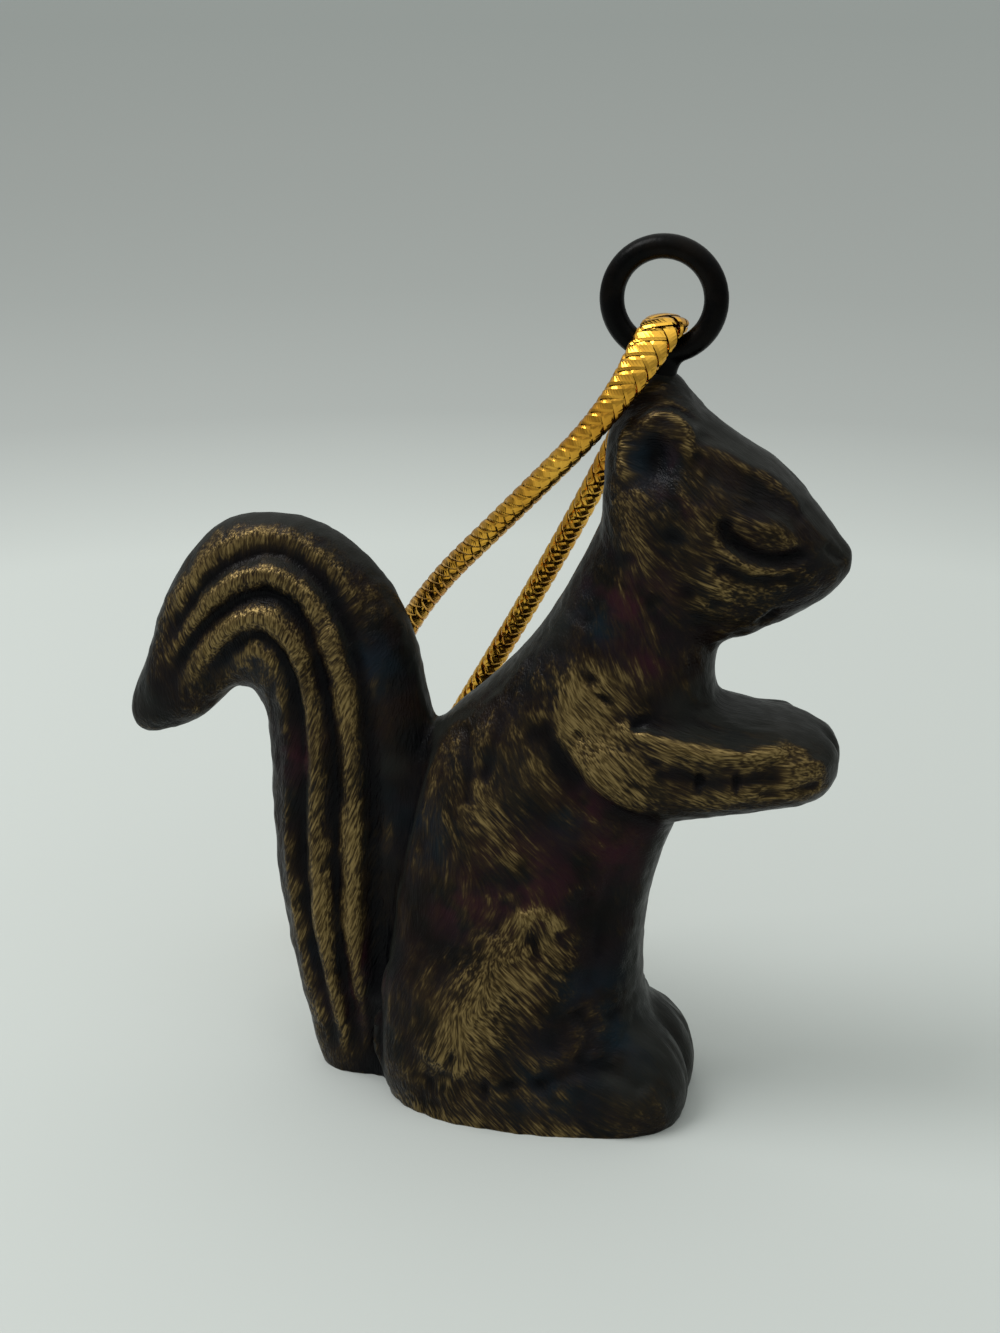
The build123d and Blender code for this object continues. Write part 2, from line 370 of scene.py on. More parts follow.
def knot_strand(side):
    """One strand through the knot: in on the axis, once round the outside, and out."""
    points = []
    for share in np.linspace(0, 1, knot_points):
        swell = math.sin(math.pi * share) ** knot_fullness
        even_turn = share - math.sin(2 * math.pi * share) / knot_evenness
        turn = math.pi / 2 * (1 - side) + 2 * math.pi * even_turn
        reach_y = strand_spacing + swell * (knot_half.y - cord_diameter / 2 - strand_spacing)
        reach_z = swell * (knot_half.z - cord_diameter / 2)
        wander = knot_wander * knot_half.x * math.sin(4 * math.pi * share)
        x = knot_low.x + 2 * knot_half.x * share - wander
        y = knot_centre.y + reach_y * math.cos(turn)
        points.append((x, y, knot_centre.z + reach_z * math.sin(turn)))
    return np.array(points)


def end_strand(side):
    start = Vector((knot_high.x, knot_centre.y + side * strand_spacing, knot_centre.z))
    reach = ends_high.x - knot_high.x
    spread = (ends_high.y - ends_low.y) / 2 - cord_diameter / 2 - strand_spacing
    sink = ends_low.z + cord_diameter / 2 - start.z
    points = []
    for along, out, down, lift in end_levels:
        points.append(start + Vector((along * reach, side * out * spread, down * sink + lift)))
    return smooth_through(points, 12)


knot = joined("overhand_knot", [woven_tube("knot_strand", knot_strand(side)) for side in (1, -1)])
ends = joined("cord_ends", [woven_tube("end_strand", end_strand(side)) for side in (1, -1)])
for piece, node in ((knot, "cord_knot"), (ends, "cord_tails")):
    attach(piece, "cord_loop")
    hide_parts(node)
print("knot and ends have", len(knot.data.polygons) + len(ends.data.polygons), "faces")

# %% [markdown]
# ## The casting
#
# A sculptor would block this figure out from simple swelling forms, blend them, and then cut the
# locks, creases, face and hair. The same order works here. Each form is a skin over a few ribs
# whose places follow the construction. The forms are fused by a voxel remesh, which gives even
# small faces everywhere, and the detail is cut by moving vertices along their normals.

# %% Forms of the body
figure_length = 61.3 * mm
casting_height = 64.0 * mm
figure_thickness = 17.8 * mm
tail_thickness = 8.8 * mm
head_thickness = 12.4 * mm

# Inner point, outer point and half thickness of each rib, as shares of length, height and the
# form's own thickness.
tail_rib_shares = (
    (-0.22, -0.04, -0.106, -0.04, 0.18), (-0.245, 0.05, -0.1, 0.05, 0.35),
    (-0.264, 0.13, -0.088, 0.13, 0.45), (-0.277, 0.205, -0.075, 0.21, 0.48),
    (-0.287, 0.28, -0.065, 0.29, 0.5), (-0.292, 0.355, -0.058, 0.37, 0.5),
    (-0.294, 0.425, -0.054, 0.45, 0.5), (-0.295, 0.49, -0.057, 0.525, 0.5),
    (-0.3, 0.532, -0.07, 0.59, 0.49), (-0.31, 0.553, -0.087, 0.656, 0.48),
    (-0.321, 0.562, -0.132, 0.736, 0.48), (-0.334, 0.562, -0.213, 0.793, 0.47),
    (-0.35, 0.552, -0.293, 0.803, 0.46), (-0.374, 0.528, -0.354, 0.787, 0.44),
    (-0.404, 0.504, -0.404, 0.738, 0.41), (-0.438, 0.49, -0.44, 0.68, 0.36),
    (-0.468, 0.484, -0.466, 0.607, 0.29), (-0.488, 0.487, -0.487, 0.56, 0.2),
    (-0.499, 0.5, -0.498, 0.528, 0.08),
)
trunk_rib_shares = (
    (-0.125, -0.04, 0.31, -0.04, 0.5), (-0.135, 0.06, 0.284, 0.06, 0.5),
    (-0.145, 0.16, 0.246, 0.16, 0.46), (-0.142, 0.27, 0.244, 0.27, 0.4),
    (-0.128, 0.37, 0.262, 0.36, 0.37), (-0.1, 0.47, 0.288, 0.43, 0.355),
    (-0.04, 0.54, 0.318, 0.52, 0.35), (0.03, 0.605, 0.329, 0.585, 0.335),
    (0.085, 0.665, 0.328, 0.65, 0.32), (0.13, 0.735, 0.34, 0.71, 0.3),
    (0.168, 0.81, 0.345, 0.775, 0.27), (0.205, 0.87, 0.32, 0.85, 0.2),
)
head_rib_shares = (
    (0.174, 0.79, 0.178, 0.928, 0.1), (0.182, 0.755, 0.19, 0.962, 0.3),
    (0.218, 0.692, 0.228, 0.985, 0.45), (0.27, 0.664, 0.284, 0.975, 0.5),
    (0.325, 0.669, 0.34, 0.94, 0.5), (0.382, 0.688, 0.396, 0.904, 0.43),
    (0.435, 0.714, 0.447, 0.857, 0.31), (0.474, 0.743, 0.482, 0.816, 0.19),
    (0.497, 0.77, 0.5, 0.796, 0.07),
)
arm_rib_shares = (
    (0.09, 0.487, 0.11, 0.568, 0.2), (0.15, 0.436, 0.17, 0.592, 0.37),
    (0.225, 0.422, 0.24, 0.602, 0.385), (0.3, 0.435, 0.312, 0.594, 0.365),
    (0.37, 0.449, 0.382, 0.583, 0.335), (0.432, 0.46, 0.442, 0.573, 0.295),
    (0.477, 0.473, 0.482, 0.555, 0.22), (0.498, 0.5, 0.499, 0.531, 0.09),
)
rib_steps = 6
rib_points = 36


def skinned_form(name, rib_shares, thickness, squareness=2.0):
    """A closed skin over smooth ribs between the two outline points of each row."""
    rows = smooth_through(rib_shares, rib_steps)
    turn = np.arange(rib_points) / rib_points * 2 * math.pi
    wide, bulge = (
        np.sign(wave) * np.abs(wave) ** (2 / squareness) for wave in (np.cos(turn), np.sin(turn))
    )
    vertices = []
    for low_x, low_z, high_x, high_z, thick in rows:
        low = np.array((low_x * figure_length, 0, low_z * casting_height))
        high = np.array((high_x * figure_length, 0, high_z * casting_height))
        for across, out in zip(wide, bulge):
            outwards = np.array((0, thick * thickness * out, 0))
            vertices.append((low + high) / 2 + (high - low) / 2 * across + outwards)
    return new_piece(name, vertices, tube_faces(len(rows), rib_points))


forms = [
    skinned_form("trunk_form", trunk_rib_shares, figure_thickness, squareness=2.35),
    skinned_form("tail_form", tail_rib_shares, tail_thickness),
    skinned_form("head_form", head_rib_shares, head_thickness),
    skinned_form("arm_form", arm_rib_shares, figure_thickness, squareness=2.5),
]
print("blocked out", len(forms), "ribbed forms")

# %% [markdown]
# The haunches, feet, ears and crown are plain swellings at this stage. Each is a sphere that is
# squashed to its half sizes and tilted, and the detail comes later with the rest.

# %% Swellings of the body
# Centre in shares of length, thickness and height, half sizes in the same shares, and the tilt.
swelling_shares = {
    "haunch": ((0.018, 0.250, 0.124), (0.160, 0.250, 0.176), 12.0),
    "foot": ((0.212, 0.130, 0.036), (0.105, 0.335, 0.104), -12.0),
    "ear": ((0.257, 0.205, 0.926), (0.045, 0.090, 0.051), 8.0),
    "crown": ((0.238, 0.000, 0.959), (0.052, 0.165, 0.055), 12.0),
}
scale_shares = Vector((figure_length, figure_thickness, casting_height))


def swelling(name, side):
    centre, half_sizes, tilt = swelling_shares[name]
    place = scale_shares * Vector(centre)
    place.y *= side
    bpy.ops.mesh.primitive_uv_sphere_add(segments=40, ring_count=24, radius=1, location=place)
    piece = bpy.context.active_object
    piece.name = name
    piece.scale = [share * size for share, size in zip(half_sizes, scale_shares)]
    piece.rotation_euler = (0, math.radians(tilt), 0)
    bpy.ops.object.transform_apply(location=True, rotation=True, scale=True)
    return piece


forms += [swelling(name, side) for side in (-1, 1) for name in ("haunch", "foot", "ear")]
# The crown rises between the ears to take the ring's foot.
forms.append(swelling("crown", 1))
print("blocked out", len(forms), "forms in all")

# %% [markdown]
# The forms are fused into one block and relaxed. Relaxing only where two forms meet in a hollow
# fills the crease with a soft fillet, as wax does, and leaves the outline where it was.

# %% Fuse, relax and fillet
fine_voxel = 0.29 * mm
squirrel = fused("squirrel", forms, fine_voxel)


class Clay:
    """The fused mesh as arrays, so that detail can be cut by moving vertices."""

    def __init__(self, piece):
        self.piece = piece
        self.read()

    def read(self):
        mesh = self.piece.data
        self.count = len(mesh.vertices)
        flat = np.zeros(self.count * 3, np.float32)
        mesh.vertices.foreach_get("co", flat)
        self.place = flat.reshape(-1, 3).astype(float) / mm
        pairs = np.zeros(len(mesh.edges) * 2, np.int32)
        mesh.edges.foreach_get("vertices", pairs)
        self.first, self.second = pairs.reshape(-1, 2).T
        self.links = np.bincount(pairs, minlength=self.count)
        self.write()

    def write(self):
        mesh = self.piece.data
        mesh.vertices.foreach_set("co", (self.place * mm).astype(np.float32).ravel())
        mesh.update()
        flat = np.zeros(self.count * 3, np.float32)
        mesh.vertex_normals.foreach_get("vector", flat)
        self.normal = flat.reshape(-1, 3).astype(float)

    def around(self, values):
        """Mean of each vertex's neighbours, for one value or one row per vertex."""
        values = np.asarray(values, float)
        columns = values.reshape(self.count, -1)
        total = np.zeros_like(columns)
        for column in range(columns.shape[1]):
            here = columns[:, column]
            total[:, column] = np.bincount(self.first, here[self.second], self.count)
            total[:, column] += np.bincount(self.second, here[self.first], self.count)
        return (total / np.maximum(self.links, 1)[:, None]).reshape(values.shape)

    def relax(self, rounds, strength=0.5):
        for _ in range(rounds):
            self.place += strength * (self.around(self.place) - self.place)
        self.write()

    def fill_hollows(self, rounds, strength=0.6):
        for step in range(rounds):
            towards = ((self.around(self.place) - self.place) * self.normal).sum(1)
            self.place += self.normal * (strength * np.clip(towards, 0, None))[:, None]
            # A weak relaxing now and then keeps the filled surface even.
            if step % 8 == 7:
                self.relax(1, 0.3)
        self.write()

    def soften(self, relax, fillet, polish):
        self.relax(relax)
        self.fill_hollows(fillet)
        self.relax(polish)

    def push(self, height):
        """Moves each vertex along its normal, in millimetres."""
        self.place += self.normal * np.asarray(height)[:, None]
        self.write()


clay = Clay(squirrel)
clay.soften(relax=6, fillet=60, polish=3)
print("the fused block has", clay.count, "vertices")

# %% [markdown]
# ## Cutting the detail
#
# Each mark is a short list of points on the side view with a width and a depth. The same mark is
# cut into both flanks. A mark is a soft groove across its line, and a negative depth raises a
# ridge instead. Only surface that faces sideways takes a flank mark.

# %% Marking tools
# The share of a mark's length over which it fades at each end.
mark_taper = 0.12


def side_distance(points):
    """Distance in the side view from every vertex to a line, and the share along the line."""
    line = smooth_through(points, 6)
    x, z = clay.place[:, 0], clay.place[:, 2]
    nearest = np.full(clay.count, 1e9)
    along = np.zeros(clay.count)
    runs = np.linalg.norm(np.diff(line, axis=0), axis=1)
    start = np.concatenate([[0], np.cumsum(runs)])
    for i, (a, b) in enumerate(zip(line, line[1:])):
        run = b - a
        share = np.clip(((x - a[0]) * run[0] + (z - a[1]) * run[1]) / (run @ run + 1e-12), 0, 1)
        distance = np.hypot(x - a[0] - share * run[0], z - a[1] - share * run[1])
        closer = distance < nearest
        nearest[closer] = distance[closer]
        along[closer] = (start[i] + share[closer] * runs[i]) / start[-1]
    return nearest, along


def ease(values, low, high):
    share = np.clip((values - low) / (high - low), 0, 1)
    return share * share * (3 - 2 * share)


def flank():
    return ease(np.abs(clay.normal[:, 1]), 0.05, 0.4)


def along_line(points, width, taper):
    """One on a line in the side view, fading across it and at both its ends."""
    distance, along = side_distance(points)
    fade = ease(along, 0, taper) * ease(1 - along, 0, taper)
    return np.exp(-((distance / width) ** 2)) * fade


def turned(x, z, degrees):
    """Coordinates along and across a direction in the side view."""
    turn = math.radians(degrees)
    return x * math.cos(turn) + z * math.sin(turn), z * math.cos(turn) - x * math.sin(turn)


def cut(marks):
    """Cuts soft grooves along lines, each with its width and depth."""
    height = np.zeros(clay.count)
    for points, width, depth in marks:
        height -= depth * along_line(points, width, mark_taper) * flank()
    clay.push(height)


def press(dents):
    """Presses in soft ovals, each with its place, half sizes, depth and tilt."""
    height = np.zeros(clay.count)
    for x, z, long, tall, depth, tilt in dents:
        along, across = turned(clay.place[:, 0] - x, clay.place[:, 2] - z, tilt)
        height -= depth * np.exp(-((along / long) ** 2) - (across / tall) ** 2) * flank()
    clay.push(height)


print("marking tools ready")

# %% [markdown]
# The tail is four long locks. Three grooves part them, from the base up the stem and over the
# hook, and a deep crease parts the tail from the back. The locks between are swollen a little so
# that each has a round crest.

# %% Tail locks
# Each mark has its points on the side view, its width and its depth, in millimetres.
tail_grooves = (
    (((-27.4, 36.5), (-25.6, 41), (-22.5, 45.7), (-19.4, 48), (-16.5, 48.8), (-14, 48.1),
      (-11.8, 46), (-9.9, 42.6), (-8.8, 38.4), (-8.2, 34), (-7.9, 29.5), (-8, 24), (-8.2, 18),
      (-8.4, 12), (-8.5, 5), (-8.6, 0)), 1, 0.8),
    (((-26.6, 33.8), (-25.5, 37.5), (-23, 41.5), (-20.1, 44.1), (-17.4, 45.3), (-15.2, 44.8),
      (-13.5, 42.8), (-12.6, 40.2), (-11.8, 36.6), (-11.4, 32), (-11.4, 27), (-11.5, 21.5),
      (-11.5, 16.5), (-11, 10.5), (-10.4, 5), (-10, 0)), 0.9, 0.85),
    (((-23.5, 35), (-21.6, 38.4), (-19.4, 41), (-17.3, 41.6), (-15.6, 40.2), (-14.7, 37.6),
      (-14.3, 33.4), (-14.4, 28.5), (-14.7, 23), (-14.6, 18), (-13.9, 12.5), (-12.8, 6.5),
      (-12.2, 1)), 0.8, 0.7),
)
tail_crests = (
    (((-26, 41.5), (-22.6, 47), (-18.6, 49.8), (-14.6, 49.8), (-11.6, 48),
      (-9.2, 44.6)), 0.9, -0.25),
    (((-26.4, 37), (-23.9, 41.8), (-20.6, 45.8), (-17.2, 47.3), (-14.4, 46.4), (-12, 44),
      (-10.6, 40.4), (-9.6, 35.4), (-9.4, 29.6), (-9.6, 22), (-9.9, 14), (-9.6, 5)), 0.8, -0.28),
    (((-24.4, 36.8), (-22.4, 39.9), (-19.8, 42.6), (-17.2, 43.5), (-15, 42), (-13.8, 39),
      (-13.1, 34.6), (-13, 29.6), (-13.2, 22), (-12.9, 15), (-12, 8), (-11.2, 2.5)), 0.75, -0.26),
    (((-20.4, 38.6), (-18.2, 40.3), (-16.4, 39.2), (-15.7, 35.6), (-15.6, 30), (-16, 23.5),
      (-15.3, 15), (-13.9, 7)), 0.6, -0.15),
)
tail_creases = (
    (((-3.4, 34.6), (-4, 31.4), (-4.8, 28), (-5.5, 24.5), (-6.3, 20.5), (-7, 16), (-7.5, 11.5),
      (-7.8, 6), (-8, 0.5)), 0.9, 0.7),
)
for marks in (tail_grooves, tail_crests, tail_creases):
    cut(marks)
    print("cut", len(marks), "marks on each side of the tail")

# %% [markdown]
# On the body the forearm lies over the chest with a crease behind the elbow, the knee stands out
# above a recess, and the foot has an arched instep. Small dents in the fur were pressed with the
# end of a tool.

# %% Arm, haunch and foot
body_marks = (
    (((6.6, 37.6), (7.2, 35.4), (8.6, 33.4), (10.4, 31.4), (12.6, 29.6), (14.8, 28.6),
      (17, 28.2)), 1.1, 0.6),
    (((12.6, 37.4), (15.6, 36.3), (18.6, 35.6), (21.6, 35.2), (24.4, 35.4),
      (27.2, 35.8)), 0.7, -0.55),
    (((15.6, 33.6), (18.6, 33.2), (21.6, 32.9), (24.4, 33.2), (26.8, 33.6)), 0.8, 0.35),
    (((24.4, 31.9), (27, 32.2), (29.4, 32.6)), 0.4, 0.3),
    (((5, 19), (6.6, 20), (8.2, 19.6), (8.9, 18.2)), 0.6, -0.32),
    (((4, 18.4), (2.2, 14.5), (0.4, 10), (-1.6, 5)), 2.2, -0.45),
    (((9.8, 22.5), (11.4, 18.5), (11.4, 14.5), (10.2, 10.8), (8, 7)), 1.6, 0.55),
    (((6.2, 4), (8.6, 5.4), (11.2, 6.2), (14, 5.8), (16.8, 4)), 0.9, 0.55),
    (((10.2, 11.5), (11.6, 9), (10.4, 6.4)), 0.7, 0.35),
    (((16, 27), (14.9, 23), (14, 18), (13.4, 13.4)), 0.8, -0.22),
    (((13.2, 25), (12.2, 20), (12.2, 15)), 0.6, 0.22),
    (((12.4, 10), (14, 10.8), (15.2, 11)), 0.6, 0.25),
    (((0, 35.6), (0.6, 32.4), (0.6, 28.6)), 0.6, 0.28),
    (((3.4, 37.4), (2.8, 34), (1.8, 30.8)), 0.5, 0.22),
    (((15.6, 47), (17, 43.4), (18.6, 40.4)), 0.8, 0.2),
)
body_dents = (
    (10.7, 40.8, 0.75, 0.5, 0.4, -30), (11.9, 39.2, 0.7, 0.4, 0.35, -25),
    (14.7, 37.3, 0.7, 0.45, 0.45, 20), (9.9, 35.9, 0.6, 0.6, 0.35, 0),
    (16.1, 34.3, 0.7, 0.5, 0.3, 0), (19.8, 32.8, 0.35, 0.8, 0.4, 0),
    (22.7, 32.8, 0.3, 0.8, 0.4, 0), (6.6, 17, 0.5, 1.3, 0.45, 10), (-0.1, 6.8, 0.5, 0.9, 0.4, 0),
    (4.9, 4.6, 0.9, 0.5, 0.35, 20), (2.7, 3.9, 0.4, 0.8, 0.35, 0), (-2.2, 3.8, 0.5, 0.8, 0.35, 10),
)
cut(body_marks)
press(body_dents)
# At the front the two paws and the two feet meet in a groove, and each foot has a toe line.
middle_groove_width, middle_groove_depth = 0.55, 0.35
toe_line_width, toe_line_depth, toe_line_place = 0.4, 0.12, 2.7
x, across, z = clay.place.T
across = np.abs(across)
towards_front = ease(clay.normal[:, 0], 0.3, 0.8)
feet = ease(-z, -9, -6)
paws = ease(x, 25.5, 28) * ease(z, 28, 30) * ease(-z, -40, -38)
middle_groove = middle_groove_depth * (feet + paws) * np.exp(-((across / middle_groove_width) ** 2))
toe_shape = np.exp(-(((across - toe_line_place) / toe_line_width) ** 2))
toe_lines = toe_line_depth * feet * toe_shape
clay.push(-(middle_groove + toe_lines) * towards_front)
print("cut", len(body_marks), "creases and", len(body_dents), "dents on each flank")

# %% [markdown]
# The face is one long almond eye under a brow, with folds of cheek below it, a nostril slit and a
# short mouth. The ear is a round cup, and the last mark raises its rim.

# %% Face and ear
face_marks = (
    (((20.6, 55), (21.2, 53.4), (22.4, 52.2), (24.2, 51.4), (26.2, 51.3), (27.8, 51.8)), 0.6, 0.65),
    (((18.8, 58.2), (20.8, 57.5), (22.8, 56.5), (24.8, 55.2), (26.8, 53.5)), 0.9, 0.2),
    (((20.2, 50.9), (21.6, 50.3), (23.2, 49.8), (25, 49.6), (26.6, 50)), 0.5, 0.35),
    (((20.8, 52.4), (22.2, 51.2), (24, 50.5), (26, 50.4), (27.6, 50.9)), 0.4, -0.2),
    (((18.2, 60), (20.1, 59.2), (22, 58.2), (23.8, 57.2), (25.4, 55.9), (26.8, 54.4)), 0.5, -0.35),
    (((28.6, 52.2), (29.2, 51.3), (30, 50.6)), 0.3, 0.4),
    (((25.2, 46.9), (24.4, 46.1), (23.6, 45.5)), 0.3, 0.3),
    (((12.9, 56.4), (12.6, 58.6), (12.9, 60.6), (14.2, 62), (16.2, 62.5), (17.8, 61.6),
      (18.1, 59.8), (17.4, 58.2)), 0.6, -0.28),
)
face_dents = (
    (24.2, 53.8, 2.4, 1.1, -0.3, -18), (17.2, 53.1, 0.8, 0.7, 0.3, 0),
    (13.5, 50.8, 0.6, 0.6, 0.25, 0), (18.2, 48.5, 0.7, 0.6, 0.3, 0),
    (20.4, 47.6, 0.6, 0.5, 0.25, 0), (15.5, 47.4, 0.6, 0.6, 0.25, 0),
    (10.3, 45.5, 0.6, 0.7, 0.25, 0), (15.3, 59, 1.7, 2.1, 1.5, 12),
)
press(face_dents)
cut(face_marks)
print("cut", len(face_marks), "marks and", len(face_dents), "dents on each side of the face")

# %% [markdown]
# ## The combed hair
#
# The hair runs a different way on each part of the figure. A few listed combs give its angle
# on the side view, and every vertex takes a blend of the combs near it. The blend is stored as
# eight weights, one for each of eight fixed directions, so that the same strokes can be cut into
# the mesh here and refined by the material later. The weights are sharp, because strokes from two
# far directions laid over each other look like scales, not hair.

# %% Combed directions
# Place on the side view in millimetres, and the angle of the hair in degrees above the X axis.
combs = (
    (-28, 36, 100), (-25.5, 42, 115), (-21.5, 46.5, 105), (-17, 49, 80), (-12.5, 47.5, 60),
    (-9.5, 43, 40), (-21, 41.5, 110), (-17, 43.5, 85), (-13.5, 40, 50), (-16, 33, 65),
    (-12.5, 32, 65), (-9, 33, 60), (-16, 23, 65), (-12.5, 22, 66), (-9.5, 22, 66), (-14, 12, 70),
    (-10, 10, 70), (-4, 30, 80), (-5, 20, 85), (-5, 10, 80), (0, 33, -70), (2, 28, -50),
    (4, 24, -45), (-1, 20, 75), (1, 14, 65), (-2, 7, 70), (4, 9, -35), (5, 14, -40), (4, 18, 60),
    (8, 19, -60), (10, 16, -35), (8, 3, -40), (13, 3, -30), (3, 2, -50), (12, 9, 30), (16, 7, -40),
    (13, 20, -80), (9, 28, -35), (6, 34, -60), (8, 40, -70), (12, 38, -35), (11, 34, -40),
    (14, 33, -40), (18, 36, -12), (24, 35, 4), (20, 31, -25), (14, 44, -80), (17, 41, -75),
    (13, 50, -70), (17, 52, -35), (19, 49, -30), (22, 50, -12), (24, 54, -15), (26, 50, 10),
    (23, 47, -20), (18, 56, -50), (22, 58.5, -35), (15, 62, 10), (27, 53.5, -45),
)
fixed_angles = tuple(22.5 * step for step in range(8))
comb_sharpness = 12
# How near a comb has its full pull, in square millimetres, and how fast the pull falls off.
comb_softness = 2.0
comb_falloff = 1.5


def comb_weights():
    """Weights of the fixed directions at every vertex."""
    x, z = clay.place[:, 0], clay.place[:, 2]
    double_cos = np.zeros(clay.count)
    double_sin = np.zeros(clay.count)
    for comb_x, comb_z, angle in combs:
        pull = 1 / ((x - comb_x) ** 2 + (z - comb_z) ** 2 + comb_softness) ** comb_falloff
        double_cos += pull * math.cos(math.radians(2 * angle))
        double_sin += pull * math.sin(math.radians(2 * angle))
    double_angle = np.arctan2(double_sin, double_cos)
    away = double_angle[:, None] - np.radians(2 * np.array(fixed_angles))
    weights = np.clip(np.cos(away), 0, 1) ** comb_sharpness
    return weights / weights.sum(1)[:, None]


def lattice_value(cell):
    """A repeatable value from -1 to 1 for each whole-number cell."""
    mixed = np.sin(cell @ np.array((12.9898, 78.233, 37.719))) * 43758.5453
    return 2 * (mixed - np.floor(mixed)) - 1


def soft_noise(points):
    """Smooth noise from -1 to 1 at each point."""
    base = np.floor(points)
    inside = points - base
    blend = inside * inside * (3 - 2 * inside)
    value = np.zeros(len(points))
    for corner in np.ndindex(2, 2, 2):
        corner = np.array(corner)
        weight = np.prod(np.where(corner, blend, 1 - blend), axis=1)
        value += weight * lattice_value(base + corner)
    return value


def stroke_noise(length, width, seed):
    """Noise stretched along the combed direction, blended over the fixed ones."""
    x, y, z = clay.place.T
    value = np.zeros(clay.count)
    for weight, angle in zip(clay.comb.T, fixed_angles):
        along, across = turned(x, z, angle)
        stretched = np.stack([along / length + seed, across / width, y / width], axis=1)
        value += weight * soft_noise(stretched)
    return value


clay.comb = comb_weights()
lump_size = 3.2
lump_height = 0.10
tuft_height = 0.10
stroke_height = 0.06
# The narrow edges of the figure are combed this much, and its flanks fully.
edge_combing = 0.35
lumps = soft_noise(clay.place / lump_size) + 0.5 * soft_noise(clay.place / (lump_size / 2) + 7)
tufts = stroke_noise(2.4, 0.95, 3)
strokes = stroke_noise(1.8, 0.5, 11)
relief = lumps * lump_height + tufts * tuft_height + strokes * stroke_height
clay.push(relief * (edge_combing + (1 - edge_combing) * flank()))
print("combed", clay.count, "vertices with", len(combs), "combs")

# %% [markdown]
# ## Flat base
#
# The foundry files the base flat so that the figure stands. Whatever lies below the floor is
# sliced off, and the cut is capped.

# %% Slice the base
select_only(squirrel)
bpy.ops.object.mode_set(mode="EDIT")
bpy.ops.mesh.select_all(action="SELECT")
bpy.ops.mesh.bisect(plane_co=(0, 0, 0), plane_no=(0, 0, 1), use_fill=True, clear_inner=True)
bpy.ops.object.mode_set(mode="OBJECT")
clay.read()
clay.comb = comb_weights()
print("after the slice the casting has", clay.count, "vertices")

# %% [markdown]
# ## Where the brass shows
#
# Patina rubs off what stands proud. A vertex stands proud when it lies outside the smoothed
# shape around it, and it is painted darker, as shade, when it lies inside. Both are measured at a
# coarse and a fine scale and stored with the mesh, and the material reads them.


# %% Wear and shelter
def standing_proud(rounds):
    """How far each vertex lies outside the shape that is relaxed so many times."""
    smoothed = clay.place.copy()
    for _ in range(rounds):
        smoothed += 0.5 * (clay.around(smoothed) - smoothed)
    return ((clay.place - smoothed) * clay.normal).sum(1)


# How much handling each area has had: place on the side view, reach in millimetres, amount. A
# negative amount is a place that fingers miss, kept dark as painted shade in creases and hollows.
handled_and_shaded = (
    (-21, 44, 6.5, 0.36), (-14, 44, 4, 0.16), (-9.8, 36, 3, 0.34), (-13.3, 33, 2.2, -0.1),
    (-10.2, 25, 3.2, 0.36), (-12.4, 17, 4.2, 0.4), (-11.5, 7, 3.6, 0.2), (10.8, 38, 3.8, 0.55),
    (13.5, 33.5, 3.6, 0.36), (19, 35, 3, 0.16), (25.5, 35, 3.2, 0.2), (7, 17.4, 2.8, 0.42),
    (4.2, 13.5, 3.8, 0.48), (1.5, 9, 3.5, 0.42), (-1, 5, 3.2, 0.3), (3.6, 26.5, 4.6, 0.26),
    (0.5, 29, 3.6, 0.12), (15.3, 59, 2.2, -0.12), (12.9, 59, 1.4, 0.08), (16.5, 50.5, 4.4, 0.16),
    (24, 50.6, 2.6, 0.08), (22.5, 47.8, 3.6, 0.14), (12.8, 54, 3, 0.12), (13.5, 44, 3, 0.04),
    (-7, 40.5, 2.6, -0.5), (-6.4, 34.5, 2.6, -0.6), (-6, 28, 2.2, -0.6), (-6.4, 21, 2, -0.6),
    (-7, 14, 1.8, -0.5), (-7.6, 6, 1.6, -0.45), (24.8, 54.4, 1.8, -0.12), (15.5, 23, 4, -0.25),
    (12.5, 15, 2.6, -0.25), (-15.8, 30, 2, -0.2), (-16, 20, 1.8, -0.12), (10, 6, 3, -0.15),
)
# Edges that are rubbed along their whole length: points, half width in millimetres, amount.
rubbed_edges = (
    (((13.6, 37.2), (16.4, 36.3), (19.4, 35.7), (22.4, 35.4), (25.2, 35.6), (27.6, 36)), 0.8, 0.3),
    (((9.8, 41.6), (9.4, 38.8), (9.9, 36.2), (11.6, 33.8), (13.8, 31.8), (16.2, 30.6)), 1.2, 0.22),
    (((17.4, 31.2), (20.6, 31), (24, 31.6), (27.4, 32.6), (29.4, 34)), 0.6, 0.18),
    (((3.4, 17.6), (5, 19.4), (6.8, 20.2), (8.3, 19.5), (9, 18)), 0.7, 0.3),
    (((12.8, 56.8), (12.6, 59), (13, 60.8), (14.4, 62.1), (16.2, 62.5), (17.6, 61.6)), 0.5, 0.08),
    (((20, 49.4), (22, 48.6), (24.4, 48.2), (26.4, 48.8)), 0.8, 0.08),
)
# Smooth places without hair, which take the painted grey sheen: place on the side view and reach.
smooth_sheen_places = (
    (15.5, 5, 3.6), (17.5, 24, 3.2), (29, 51.5, 1.8), (-28.5, 34.5, 2.6), (7, 45, 3),
    (18, 38.6, 2), (-6.2, 31, 1.6),
)
# Where the patina is stained maroon or blue-green: place on the side view and reach.
maroon_places = (
    (6, 22, 4.5), (13, 25.5, 2.6), (11, 30, 2), (14, 47, 3), (17.5, 57, 1.8), (-10.2, 8, 2.2),
    (-14.2, 31, 2), (-9, 12, 2), (0.5, 20, 2.5), (15.5, 42.5, 1.6),
)
teal_places = (
    (15.3, 59.2, 2.4), (-19, 38.5, 2.6), (-12, 12, 2.4), (-8, 40, 2.4), (8, 4, 3.2), (14, 8, 3),
    (11, 12.5, 2.4), (9.5, 29, 2), (-3.5, 26, 2.6), (10.5, 44.5, 2.2),
)
